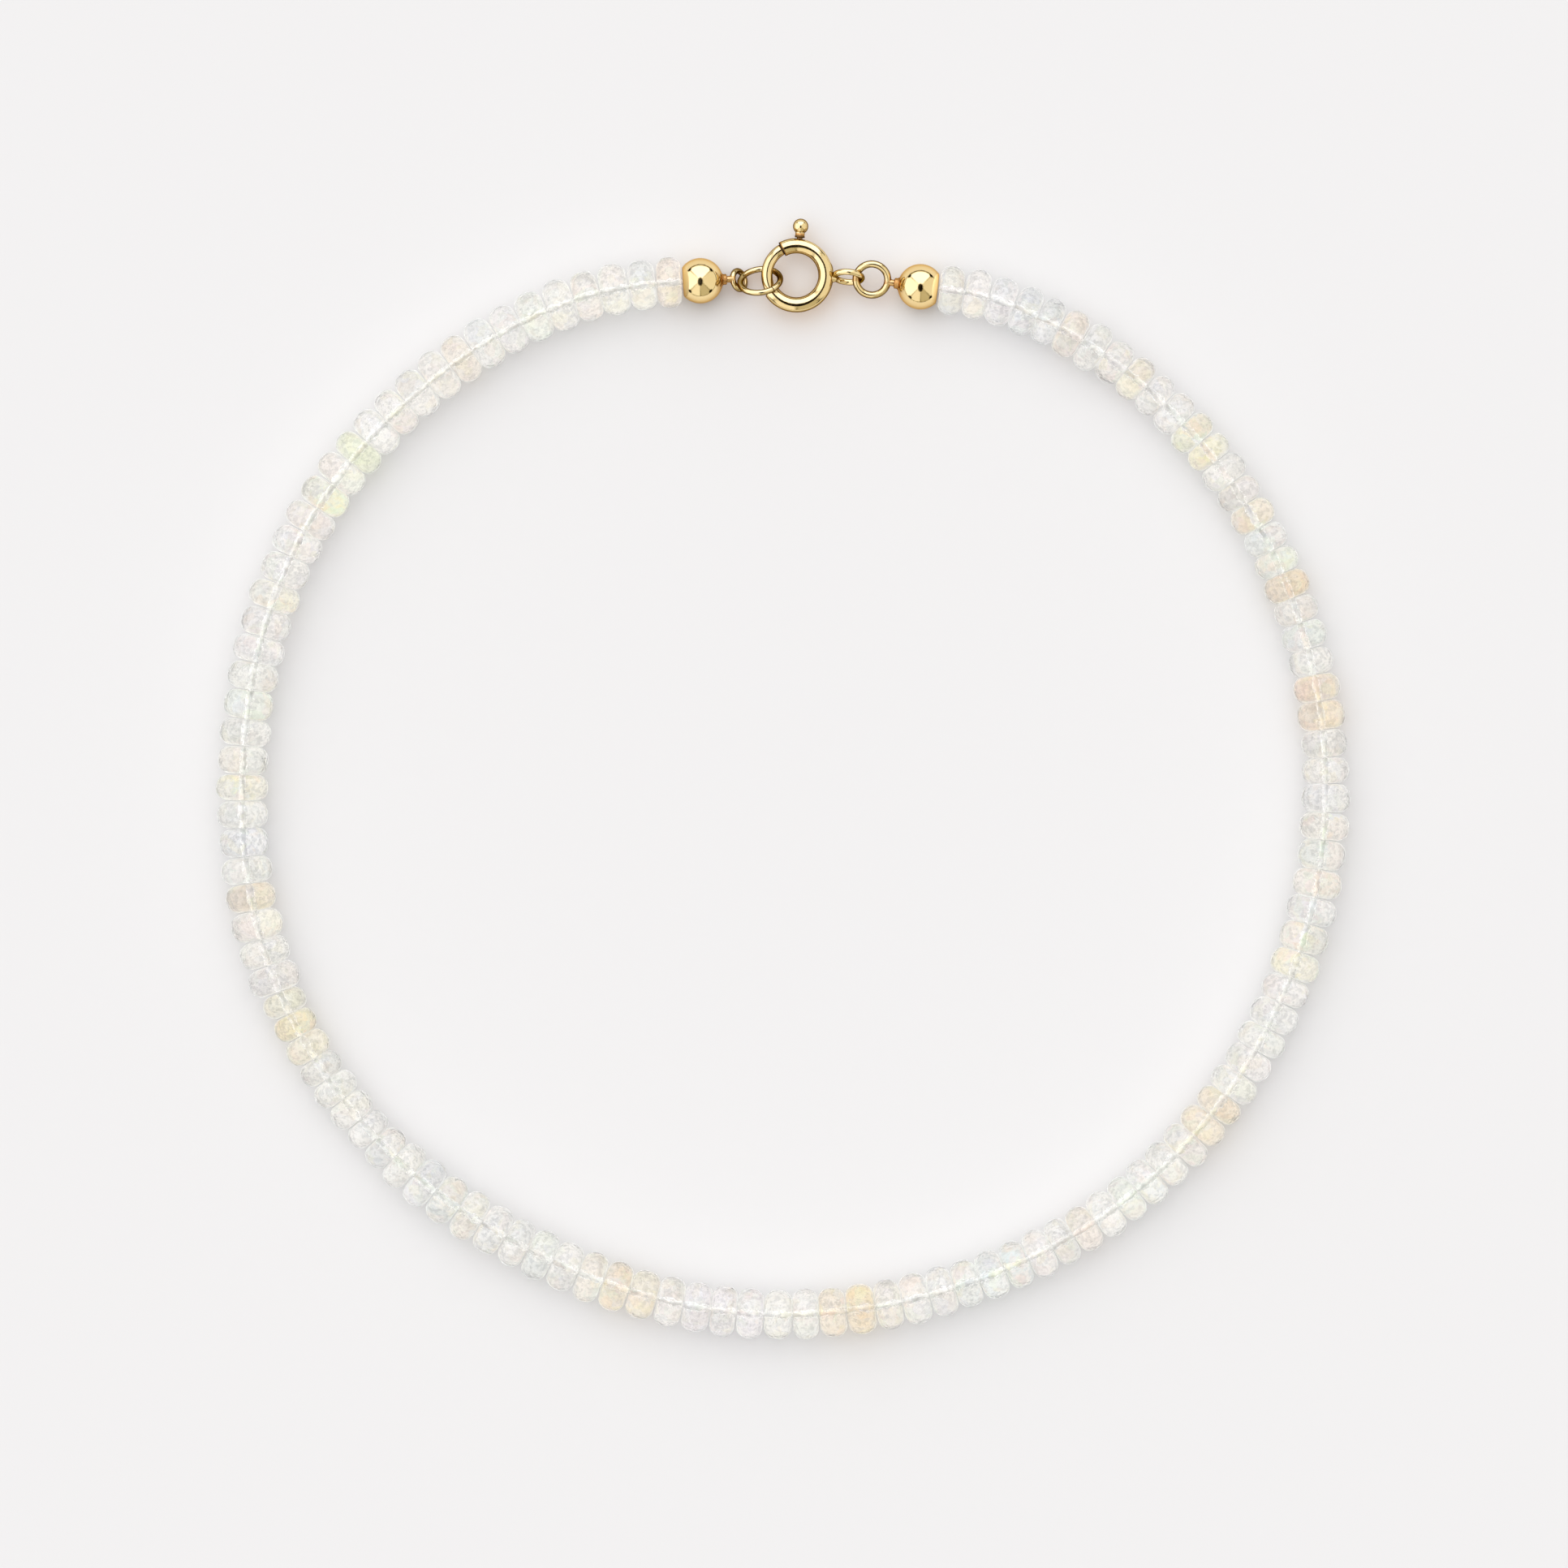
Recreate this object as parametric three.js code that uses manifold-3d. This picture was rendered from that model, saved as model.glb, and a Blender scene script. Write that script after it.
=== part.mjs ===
// Gemstone bracelet, in millimetres and +Z up, lying as a closed loop on the plane z = 0.
// Seen from above, the clasp is at +Y and the strand of beads runs clockwise from the
// right-hand ball end round to the left-hand one. The origin is under the middle of the loop.

import * as THREE from "three";
import { mergeVertices } from "three/addons/utils/BufferGeometryUtils.js";
import Module from "manifold-3d";

const wasm = await Module();
wasm.setup();

// ---- Driving dimensions -----------------------------------------------------------------

// The line that the bead centres follow, in polar form about LOOP_CENTRE. turn is in degrees
// clockwise from +Y, and the radius eases from row to row. The first row is at the right-hand
// ball end, and the last one at the left-hand ball end.
const LOOP_CENTRE = { x: 0, y: -1.24 };
const LOOP_ROWS = [
  { turn: 16.8, radius: 31.9 },
  { turn: 22, radius: 32.4 },
  { turn: 32, radius: 32.7 },
  { turn: 50, radius: 32.8 },
  { turn: 72, radius: 32.6 },
  { turn: 95, radius: 32.3 },
  { turn: 118, radius: 31.9 },
  { turn: 140, radius: 31.4 },
  { turn: 162, radius: 30.85 },
  { turn: 185, radius: 30.75 },
  { turn: 208, radius: 30.85 },
  { turn: 230, radius: 31.65 },
  { turn: 252, radius: 32.3 },
  { turn: 275, radius: 32.4 },
  { turn: 298, radius: 32.85 },
  { turn: 320, radius: 32.7 },
  { turn: 338, radius: 32.35 },
  { turn: 348.9, radius: 31.55 },
];

// The stones, clockwise from the clasp. Lengths are along the thread and relative: the strand
// is fitted between the ball ends. Widths are across it.
const BEAD_RUNS = [
  { beads: 7, length: 1.53, width: 3.0 },
  { beads: 15, length: 1.55, width: 2.74 },
  { beads: 4, length: 1.65, width: 2.82 },
  { beads: 9, length: 1.68, width: 3.02 },
  { beads: 16, length: 1.55, width: 2.96 },
  { beads: 22, length: 1.63, width: 3.06 },
  { beads: 8, length: 1.5, width: 2.72 },
  { beads: 34, length: 1.66, width: 3.1 },
];
const LENGTH_SCATTER = 0.06; // how far one stone's length strays from its run's, as a share
const WIDTH_SCATTER = 0.03;
const LENGTH_STEP = 0.618; // the steps through the scatter, so that no short pattern repeats
const WIDTH_STEP = 0.414;
const BEAD_SIDES = 8;
const FACE_SHARE = 0.7; // radius where two stones meet, as a share of the smaller one's
const SHOULDER_SHARE = 0.2; // the rounded end of a stone, as a share of its length
const BEADS_PER_STRETCH = 5;
const GAP = 0.06; // between neighbouring pieces

// Ball ends: a hollow ball cut flat where the last bead sits, a neck, and a ring or eye.
const BALL = { radius: 1.36, flat: 1.05, sides: 16, rows: 8 };
const NECK = { radius: 0.2, collar: 0.32, collarLength: 0.26, sunk: 0.04 };

// Spring ring: bored and slotted tube, round its own centre. Angles are clockwise from +Y.
const SPRING = {
  x: 0.74,
  y: 30.115,
  z: 1.35,
  radius: 1.765,
  tube: 0.455,
  bore: 0.385,
  wire: 0.335,
  mouth: -29,
  farEnd: -123,
  gateEnd: -121,
  gateTail: 17,
  boreStart: -31,
  boreEnd: 84,
  knob: 5,
  travel: 62,
};
const KNOB = { distance: 2.935, radius: 0.46, neck: 0.17, collar: 0.3, collarStart: 2.25 };
const SLOT = { width: 0.42, margin: 7, depth: 0.2, steps: 10 };

// Wire rings. heading is where the long axis points in plan, degrees anticlockwise from +X;
// slope lifts that axis; tilt then turns the ring about it, and lifts its left-hand side.
const RINGS = {
  leftEye: {
    x: -2.705, y: 29.86, z: 0.77, radius: 0.557, wire: 0.175, heading: 87, slope: -18, tilt: 49.5,
  },
  jumpRing: {
    x: -1.424, y: 29.77, z: 1.52, radius: 1.208, wire: 0.18, heading: 9.5, slope: -1.7, tilt: -51.5,
  },
  springEye: {
    x: 3.838, y: 30.012, z: 1.35, radius: 0.81, wire: 0.185, heading: -4.5, slope: 0, tilt: 71,
  },
  rightRing: {
    x: 5.25, y: 29.86, z: 1.38, radius: 0.95, wire: 0.215, heading: -6, slope: 2, tilt: 16,
  },
};
const SOLDER = { radius: 0.25, out: 0 };
const RING_STEPS = 20;
const WIRE_SIDES = 8;
const TUBE_SIDES = 10;
const ARC_STEP = 12; // degrees
const SPHERE = { around: 14, down: 9 };

// ---- Materials --------------------------------------------------------------------------

const opal = new THREE.MeshStandardMaterial({ color: 0xe9efec, roughness: 0.08, metalness: 0 });
const gold = new THREE.MeshStandardMaterial({ color: 0xe0b568, roughness: 0.12, metalness: 1 });

// ---- Solids -----------------------------------------------------------------------------

const group = new THREE.Group();
const UP = new THREE.Vector3(0, 0, 1);

function addPiece(name, geometry, material) {
  const mesh = new THREE.Mesh(geometry, material);
  mesh.name = name;
  group.add(mesh);
}

/** A manifold-3d solid of a closed geometry. */
function toSolid(geometry) {
  const bare = new THREE.BufferGeometry();
  bare.setAttribute("position", geometry.getAttribute("position"));
  bare.setIndex(geometry.getIndex());
  const merged = mergeVertices(bare, 1e-4);
  const index = merged.getIndex().array;
  const triangles = [];
  for (let i = 0; i < index.length; i += 3) {
    const [a, b, c] = [index[i], index[i + 1], index[i + 2]];
    if (a !== b && b !== c && c !== a) {
      triangles.push(a, b, c);
    }
  }
  const mesh = new wasm.Mesh({
    numProp: 3,
    vertProperties: new Float32Array(merged.getAttribute("position").array),
    triVerts: new Uint32Array(triangles),
  });
  return new wasm.Manifold(mesh);
}

/** The three.js geometry of a manifold-3d solid. */
function toGeometry(solid) {
  const mesh = solid.getMesh();
  const geometry = new THREE.BufferGeometry();
  geometry.setAttribute("position", new THREE.BufferAttribute(mesh.vertProperties, 3));
  geometry.setIndex(new THREE.BufferAttribute(mesh.triVerts, 1));
  geometry.computeVertexNormals();
  return geometry;
}

function joined(geometries) {
  return geometries.map(toSolid).reduce((whole, piece) => whole.add(piece));
}

// ---- The strand -------------------------------------------------------------------------

/** How fast the loop's radius grows at a row, from its neighbours. */
function loopSlope(i) {
  const before = LOOP_ROWS[Math.max(i - 1, 0)];
  const after = LOOP_ROWS[Math.min(i + 1, LOOP_ROWS.length - 1)];
  return (after.radius - before.radius) / (after.turn - before.turn);
}

/** The loop's radius at a turn: a cubic between the rows on either side. */
function loopRadius(turn) {
  const next = LOOP_ROWS.findIndex((row, i) => i > 0 && turn <= row.turn);
  const i = next < 0 ? LOOP_ROWS.length - 2 : next - 1;
  const [a, b] = [LOOP_ROWS[i], LOOP_ROWS[i + 1]];
  const span = b.turn - a.turn;
  const u = (turn - a.turn) / span;
  const ease = u * u * (3 - 2 * u);
  const leave = u * (1 - u) * (1 - u) * span * loopSlope(i);
  const arrive = u * u * (u - 1) * span * loopSlope(i + 1);
  return a.radius + (b.radius - a.radius) * ease + leave + arrive;
}

class StrandCurve extends THREE.Curve {
  getPoint(share, target = new THREE.Vector3()) {
    const start = LOOP_ROWS[0].turn;
    const turn = start + share * (LOOP_ROWS[LOOP_ROWS.length - 1].turn - start);
    const angle = THREE.MathUtils.degToRad(turn);
    const x = LOOP_CENTRE.x + loopRadius(turn) * Math.sin(angle);
    const y = LOOP_CENTRE.y + loopRadius(turn) * Math.cos(angle);
    return target.set(x, y, 0);
  }
}

const strand = new StrandCurve();
strand.arcLengthDivisions = 2000;
const strandLength = strand.getLength();

/** A share from -0.5 to 0.5 that jumps about as index grows. */
function scatter(index, step) {
  return (((index + 1) * step) % 1) - 0.5;
}

/** Each bead's start, end and radius along the strand. */
function chartBeads() {
  const beads = [];
  for (const run of BEAD_RUNS) {
    for (let i = 0; i < run.beads; i += 1) {
      const index = beads.length;
      const length = run.length * (1 + 2 * LENGTH_SCATTER * scatter(index, LENGTH_STEP));
      const width = run.width * (1 + 2 * WIDTH_SCATTER * scatter(index, WIDTH_STEP));
      beads.push({ length, radius: width / 2 });
    }
  }
  const total = beads.reduce((sum, bead) => sum + bead.length, 0);
  const fit = strandLength / total;
  let place = 0;
  for (const bead of beads) {
    bead.start = place;
    place += bead.length * fit;
    bead.end = place;
  }
  return beads;
}

/** Turned outline of a stretch of beads, with how high the thread lies at each point of it. */
function stretchOutline(beads) {
  const corner = 1 / Math.cos(Math.PI / BEAD_SIDES);
  const rows = [];
  beads.forEach((bead, i) => {
    const before = beads[i - 1] ?? bead;
    const shoulder = SHOULDER_SHARE * (bead.end - bead.start);
    const face = FACE_SHARE * Math.min(before.radius, bead.radius);
    const start = i === 0 ? bead.start + GAP / 2 : bead.start;
    rows.push({ along: start, radius: face, height: (before.radius + bead.radius) / 2 });
    rows.push({ along: bead.start + shoulder, radius: bead.radius, height: bead.radius });
    rows.push({ along: bead.end - shoulder, radius: bead.radius, height: bead.radius });
  });
  const last = beads[beads.length - 1];
  rows.push({ along: last.end - GAP / 2, radius: FACE_SHARE * last.radius, height: last.radius });
  return rows.map((row) => ({ ...row, radius: row.radius * corner }));
}

/** A stretch of beads: turned straight, then bent to follow the strand on the surface. */
function stretchGeometry(beads) {
  const rows = stretchOutline(beads);
  const first = rows[0];
  const last = rows[rows.length - 1];
  const profile = rows.map((row) => new THREE.Vector2(row.radius, row.along));
  profile.unshift(new THREE.Vector2(0, first.along));
  profile.push(new THREE.Vector2(0, last.along));
  const halfSide = Math.PI / BEAD_SIDES;
  const geometry = new THREE.LatheGeometry(profile, BEAD_SIDES, halfSide);
  const position = geometry.getAttribute("position");
  for (let i = 0; i < position.count; i += 1) {
    const along = position.getY(i);
    const row = rows.find((one) => Math.abs(one.along - along) < 1e-4);
    const share = row.along / strandLength;
    const centre = strand.getPointAt(share);
    const ahead = strand.getTangentAt(share);
    const inward = new THREE.Vector3().crossVectors(ahead, UP);
    const point = centre.addScaledVector(inward, position.getX(i));
    position.setXYZ(i, point.x, point.y, row.height + position.getZ(i));
  }
  return geometry;
}

function addStrand() {
  const beads = chartBeads();
  for (let i = 0; i < beads.length; i += BEADS_PER_STRETCH) {
    const number = String(i / BEADS_PER_STRETCH + 1).padStart(2, "0");
    addPiece(`beads_${number}`, stretchGeometry(beads.slice(i, i + BEADS_PER_STRETCH)), opal);
  }
}

// ---- Wire, tube and ball geometry -------------------------------------------------------

/** A round wire ring, placed as one row of RINGS says. */
function ringGeometry(ring) {
  const profile = [];
  for (let i = 0; i <= WIRE_SIDES; i += 1) {
    const turn = (2 * Math.PI * (i % WIRE_SIDES)) / WIRE_SIDES;
    const across = ring.radius + ring.wire * Math.cos(turn);
    profile.push(new THREE.Vector2(across, ring.wire * Math.sin(turn)));
  }
  const heading = THREE.MathUtils.degToRad(ring.heading);
  const slope = THREE.MathUtils.degToRad(ring.slope);
  const place = new THREE.Matrix4()
    .makeTranslation(ring.x, ring.y, ring.z)
    .multiply(new THREE.Matrix4().makeRotationZ(heading))
    .multiply(new THREE.Matrix4().makeRotationY(-slope))
    .multiply(new THREE.Matrix4().makeRotationX(THREE.MathUtils.degToRad(ring.tilt)))
    .multiply(new THREE.Matrix4().makeRotationX(Math.PI / 2));
  return new THREE.LatheGeometry(profile, RING_STEPS).applyMatrix4(place);
}

/** A straight round bar between two points. */
function barGeometry(from, to, radius, sides = WIRE_SIDES) {
  const along = new THREE.Vector3().subVectors(to, from);
  const bar = new THREE.CylinderGeometry(radius, radius, along.length(), sides);
  const turn = new THREE.Quaternion().setFromUnitVectors(
    new THREE.Vector3(0, 1, 0),
    along.clone().normalize(),
  );
  const middle = from.clone().addScaledVector(along, 0.5);
  return bar.applyQuaternion(turn).translate(middle.x, middle.y, middle.z);
}

class ArcCurve extends THREE.Curve {
  /** An arc round the spring ring's centre, between two angles clockwise from +Y. */
  constructor(from, to) {
    super();
    this.from = from;
    this.to = to;
  }

  getPoint(share, target = new THREE.Vector3()) {
    return target.copy(springPoint(this.from + share * (this.to - this.from), SPRING.radius));
  }
}

function springPoint(degrees, distance) {
  const angle = THREE.MathUtils.degToRad(degrees);
  const x = SPRING.x + distance * Math.sin(angle);
  const y = SPRING.y + distance * Math.cos(angle);
  return new THREE.Vector3(x, y, SPRING.z);
}

/** A round bar along an arc of the spring ring. */
function arcGeometry(from, to, radius, sides) {
  const section = new THREE.Shape();
  for (let i = 0; i < sides; i += 1) {
    const turn = (2 * Math.PI * (i + 0.5)) / sides;
    const x = radius * Math.cos(turn);
    const y = radius * Math.sin(turn);
    if (i === 0) {
      section.moveTo(x, y);
    } else {
      section.lineTo(x, y);
    }
  }
  section.closePath();
  const steps = Math.ceil((to - from) / ARC_STEP);
  const extrudePath = new ArcCurve(from, to);
  return new THREE.ExtrudeGeometry(section, { steps, extrudePath, bevelEnabled: false });
}

/** A ball end's ball, flat towards the beads, at a point of the strand's end. */
function ballEnd(share) {
  const start = strand.getPointAt(share);
  const outward = strand.getTangentAt(share).multiplyScalar(share === 0 ? -1 : 1);
  const centre = start.addScaledVector(outward, BALL.flat + GAP / 2);
  centre.z = BALL.radius;
  const flatTurn = Math.asin(BALL.flat / BALL.radius);
  const profile = [new THREE.Vector2(0, -BALL.flat)];
  for (let i = 0; i <= BALL.rows; i += 1) {
    const turn = -flatTurn + (i / BALL.rows) * (Math.PI / 2 + flatTurn);
    const radius = i === BALL.rows ? 0 : BALL.radius * Math.cos(turn);
    profile.push(new THREE.Vector2(radius, BALL.radius * Math.sin(turn)));
  }
  const turn = new THREE.Quaternion().setFromUnitVectors(new THREE.Vector3(0, 1, 0), outward);
  const geometry = new THREE.LatheGeometry(profile, BALL.sides);
  geometry.applyQuaternion(turn).translate(centre.x, centre.y, centre.z);
  return { geometry, centre };
}

/** A ball end with its neck and the ring soldered to it. */
function addBallEnd(name, share, ring) {
  const ball = ballEnd(share);
  const near = nearestOnRing(ring, ball.centre);
  const towards = new THREE.Vector3().subVectors(near, ball.centre).normalize();
  const collarStart = ball.centre.clone().addScaledVector(towards, BALL.radius - NECK.sunk);
  const collarEnd = collarStart.clone().addScaledVector(towards, NECK.collarLength);
  const solid = joined([
    ball.geometry,
    barGeometry(ball.centre, near, NECK.radius),
    barGeometry(collarStart, collarEnd, NECK.collar),
    ringGeometry(ring),
  ]);
  addPiece(name, toGeometry(solid), gold);
}

/** The point of a ring's centreline that is nearest to a given point. */
function nearestOnRing(ring, point) {
  const thin = ringGeometry({ ...ring, wire: 1e-3 });
  const position = thin.getAttribute("position");
  let best = null;
  for (let i = 0; i < position.count; i += 1) {
    const one = new THREE.Vector3().fromBufferAttribute(position, i);
    if (best === null || one.distanceTo(point) < best.distanceTo(point)) {
      best = one;
    }
  }
  return best;
}

// ---- The spring ring and its gate -------------------------------------------------------

/** The slot that the knob's neck slides along, in the tube's outer side. */
function slotGeometry() {
  const from = SPRING.knob - SLOT.margin;
  const to = SPRING.knob + SPRING.travel + SLOT.margin;
  const outer = SPRING.radius + 2 * SPRING.tube;
  const inner = SPRING.radius + SLOT.depth;
  const shape = new THREE.Shape();
  for (let i = 0; i <= SLOT.steps; i += 1) {
    const point = springPoint(from + (i / SLOT.steps) * (to - from), outer);
    if (i === 0) {
      shape.moveTo(point.x, point.y);
    } else {
      shape.lineTo(point.x, point.y);
    }
  }
  for (let i = SLOT.steps; i >= 0; i -= 1) {
    const point = springPoint(from + (i / SLOT.steps) * (to - from), inner);
    shape.lineTo(point.x, point.y);
  }
  shape.closePath();
  const depth = SLOT.width;
  const slot = new THREE.ExtrudeGeometry(shape, { depth, bevelEnabled: false });
  return slot.translate(0, 0, SPRING.z - depth / 2);
}

function addSpringRing() {
  const tube = arcGeometry(SPRING.mouth, SPRING.farEnd + 360, SPRING.tube, TUBE_SIDES);
  const bore = arcGeometry(SPRING.boreStart, SPRING.boreEnd, SPRING.bore, TUBE_SIDES);
  const eye = RINGS.springEye;
  const solder = new THREE.SphereGeometry(SOLDER.radius, SPHERE.around, SPHERE.down);
  const solderPlace = springPoint(90 - eye.heading, SPRING.radius + SPRING.tube + SOLDER.out);
  solder.translate(solderPlace.x, solderPlace.y, solderPlace.z);
  const solid = toSolid(tube)
    .add(toSolid(solder))
    .add(toSolid(ringGeometry(eye)))
    .subtract(toSolid(bore))
    .subtract(toSolid(slotGeometry()));
  addPiece("spring_ring", toGeometry(solid), gold);
}

function addGate() {
  const knob = new THREE.SphereGeometry(KNOB.radius, SPHERE.around, SPHERE.down);
  const knobPlace = springPoint(SPRING.knob, KNOB.distance);
  knob.translate(knobPlace.x, knobPlace.y, knobPlace.z);
  const solid = joined([
    arcGeometry(SPRING.gateEnd, SPRING.gateTail, SPRING.wire, TUBE_SIDES),
    barGeometry(springPoint(SPRING.knob, SPRING.radius), knobPlace, KNOB.neck),
    barGeometry(springPoint(SPRING.knob, KNOB.collarStart), knobPlace, KNOB.collar),
    knob,
  ]);
  addPiece("gate", toGeometry(solid), gold);
}

// ---- The whole bracelet -----------------------------------------------------------------

addBallEnd("ball_end_left", 1, RINGS.leftEye);
addPiece("jump_ring", ringGeometry(RINGS.jumpRing), gold);
addSpringRing();
addGate();
addBallEnd("ball_end_right", 0, RINGS.rightRing);
addStrand();

export default group;
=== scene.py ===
"""Looks for the gemstone bracelet: polished opal rondelles on a thread, with a gold spring-ring clasp."""

import math

import bmesh
import bpy
import numpy as np
from mathutils import Matrix, Vector


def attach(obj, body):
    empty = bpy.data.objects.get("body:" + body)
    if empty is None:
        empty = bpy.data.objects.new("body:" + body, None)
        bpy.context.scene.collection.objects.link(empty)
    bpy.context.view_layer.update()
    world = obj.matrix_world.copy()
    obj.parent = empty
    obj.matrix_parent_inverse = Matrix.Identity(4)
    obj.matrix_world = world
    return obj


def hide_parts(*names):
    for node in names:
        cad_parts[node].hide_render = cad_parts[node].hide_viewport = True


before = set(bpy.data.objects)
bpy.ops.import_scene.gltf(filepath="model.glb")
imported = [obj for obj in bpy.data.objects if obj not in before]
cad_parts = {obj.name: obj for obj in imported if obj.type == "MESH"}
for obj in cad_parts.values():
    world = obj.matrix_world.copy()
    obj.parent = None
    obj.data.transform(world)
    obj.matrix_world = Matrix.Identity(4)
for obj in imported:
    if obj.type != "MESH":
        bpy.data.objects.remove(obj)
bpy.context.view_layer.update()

MM = 0.001
TAU = 2 * math.pi

# ---- The part's own dimensions, in millimetres and degrees --------------------------------

LOOP_CENTRE = (0.0, -1.24)
LOOP_ROWS = [  # turn clockwise from +Y in degrees, radius
    (16.8, 31.9), (22, 32.4), (32, 32.7), (50, 32.8), (72, 32.6), (95, 32.3),
    (118, 31.9), (140, 31.4), (162, 30.85), (185, 30.75), (208, 30.85), (230, 31.65),
    (252, 32.3), (275, 32.4), (298, 32.85), (320, 32.7), (338, 32.35), (348.9, 31.55),
]
BEAD_RUNS = [  # beads, length, width
    (7, 1.53, 3.0), (15, 1.55, 2.74), (4, 1.65, 2.82), (9, 1.68, 3.02),
    (16, 1.55, 2.96), (22, 1.63, 3.06), (8, 1.5, 2.72), (34, 1.66, 3.1),
]
LENGTH_SCATTER, WIDTH_SCATTER = 0.06, 0.03  # how far beads stray from their run's size, as shares
LENGTH_STEP, WIDTH_STEP = 0.618, 0.414  # steps from bead to bead that spread the straying evenly
BEADS_PER_STRETCH = 5
GAP = 0.06  # between the last stone and the ball's flat face
BALL_RADIUS, BALL_FLAT = 1.36, 1.05  # BALL_FLAT is from the ball's middle to its flat face
NECK_RADIUS, COLLAR_RADIUS, COLLAR_LENGTH, COLLAR_SUNK = 0.2, 0.32, 0.26, 0.04

SPRING_CENTRE = np.array([0.74, 30.115, 1.35])
SPRING_RADIUS, TUBE, BORE, WIRE = 1.765, 0.455, 0.385, 0.335
# Turns round the spring ring, clockwise from +Y.
MOUTH, FAR_END, BORE_END = -29, -123, 84
GATE_END, GATE_TAIL = -121, 17
KNOB_TURN, KNOB_TRAVEL = 5, 62
KNOB_DISTANCE, KNOB_RADIUS, KNOB_NECK = 2.935, 0.46, 0.17
KNOB_COLLAR, KNOB_COLLAR_START = 0.3, 2.25
SLOT_WIDTH, SLOT_MARGIN, SLOT_DEPTH = 0.42, 7, 0.2

# x, y, z, radius, wire, heading, slope, tilt
LEFT_EYE = (-2.705, 29.86, 0.77, 0.557, 0.175, 87, -18, 49.5)
JUMP_RING = (-1.424, 29.77, 1.52, 1.208, 0.18, 9.5, -1.7, -51.5)
SPRING_EYE = (3.838, 30.012, 1.35, 0.81, 0.185, -4.5, 0, 71)
RIGHT_RING = (5.25, 29.86, 1.38, 0.95, 0.215, -6, 2, 16)
SOLDER_RADIUS = 0.25
JUMP_CUT = 60  # where on the jump ring its two ends meet

# ---- Finish, in millimetres and degrees ---------------------------------------------------

DRILL = 0.15  # radius of the hole through a stone
THREAD = 0.11  # radius of the thread
STONE_GAP = 0.022  # from a stone's face to where it would meet the next one
STONE_REST = 0.004  # from the floor to the lowest point of a stone
STONE_FACE = 0.52  # radius of a stone's flat end, as a share of its own
STONE_LEAN = 0.9  # most that a stone leans on the thread
LUMPS = (0.008, 0.006, 0.004)  # two, three and four waves round a stone, as shares of its radius
SKIN = 0.3  # from the hole's wall to where a stone counts as outside
TINT_STRAY = (0.006, 0.005, 0.007)  # how far a stone's red, green and blue stray, as shares
FIRE_STRAY = (0.6, 1.0)  # least and most that a stone has of its kind's fire
BALL_HOLE = 0.26  # radius of the hole in a ball's flat face
CUT_HALF, CUT_EASE = 0.012, 0.03  # half of the gap between a ring's ends, and their rounding
CUT_SHARES = (0.86, 0.96)  # how thick the wire is where its end is rounded
GATE_ROUNDING = 0.16  # length of the gate's rounded tip
LAY_AROUND, LAY_ALONG = 4, 3  # how far the twist's pattern runs, once round the thread and in a millimetre

# Points round each form, and rings along the wire rings and the thread.
STONE_AROUND, TURNED_AROUND, TUBE_AROUND, WIRE_AROUND, THREAD_AROUND = 32, 32, 28, 24, 12
WIRE_STEPS, THREAD_RINGS = 96, 461

# Stones that carry a colour of their own, counted clockwise from the right-hand ball end.
CHART = {
    0: "blue", 2: "lilac", 3: "blue", 4: "blue", 5: "peach", 7: "blush", 8: "blush", 11: "moss", 12: "flame",
    14: "blush", 15: "flame", 16: "teal", 17: "moss", 18: "amber", 20: "blue", 22: "apricot", 23: "apricot",
    27: "flame", 28: "moss", 29: "blush", 30: "teal", 31: "moss", 32: "flame", 38: "golden", 39: "golden",
    40: "blush", 45: "peach", 48: "teal", 49: "teal", 50: "teal", 53: "blush", 54: "amber", 55: "golden",
    58: "lilac", 60: "lilac", 62: "peach", 63: "golden", 70: "teal", 71: "blue", 78: "cream", 79: "honey",
    80: "cream", 84: "golden", 86: "blue", 88: "flame", 91: "moss", 95: "flame", 99: "flame", 101: "lime",
    106: "peach", 111: "blush", 114: "peach",
}
KINDS = {  # colour, and how much fire the stone holds
    "clear": ((0.99, 0.988, 0.978), 0.45),
    "blue": ((0.965, 0.975, 0.985), 0.5),
    "lilac": ((0.98, 0.972, 0.985), 0.4),
    "teal": ((0.968, 0.985, 0.975), 0.7),
    "moss": ((0.975, 0.985, 0.955), 0.8),
    "flame": ((0.985, 0.98, 0.945), 1.0),
    "blush": ((0.99, 0.975, 0.955), 0.6),
    "cream": ((0.995, 0.98, 0.92), 0.4),
    "lime": ((0.96, 0.98, 0.88), 0.4),
    "peach": ((0.985, 0.945, 0.905), 0.6),
    "golden": ((0.98, 0.935, 0.86), 0.75),
    "honey": ((0.995, 0.95, 0.82), 0.85),
    "apricot": ((0.985, 0.915, 0.83), 0.75),
    "amber": ((0.98, 0.905, 0.79), 0.9),
}
HUES = [  # where each hue of the fire starts on a scale from 0 to 1, and its colour
    (0.0, (0.88, 0.99, 0.82)), (0.2, (0.86, 0.94, 0.98)), (0.38, (1.0, 0.83, 0.66)),
    (0.54, (1.0, 0.96, 0.66)), (0.72, (0.90, 0.89, 0.99)), (0.86, (1.0, 0.83, 0.80)),
]
# How fine the patterns in the stone are, in repeats per metre.
HUE_PATCHES, PATCH_BENDS, FIRE_SPOTS = 1500.0, 900.0, 900.0
COLOUR_SPOTS, CLOUDS, FEATHERS, POLISH_WAVES = 1500.0, 1300.0, 3600.0, 2400.0
PATCH_BEND = 0.0006  # how far the edge of a patch bends, in metres
BARE_STONE, CLOUD_SHADE, FEATHER_SHADE = (0.995, 0.985, 0.955), (0.93, 0.935, 0.935), (0.66, 0.665, 0.68)
MILKY_SIDE, STONE_PASSES = (0.97, 0.96, 0.93), (0.645, 0.645, 0.645)

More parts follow.
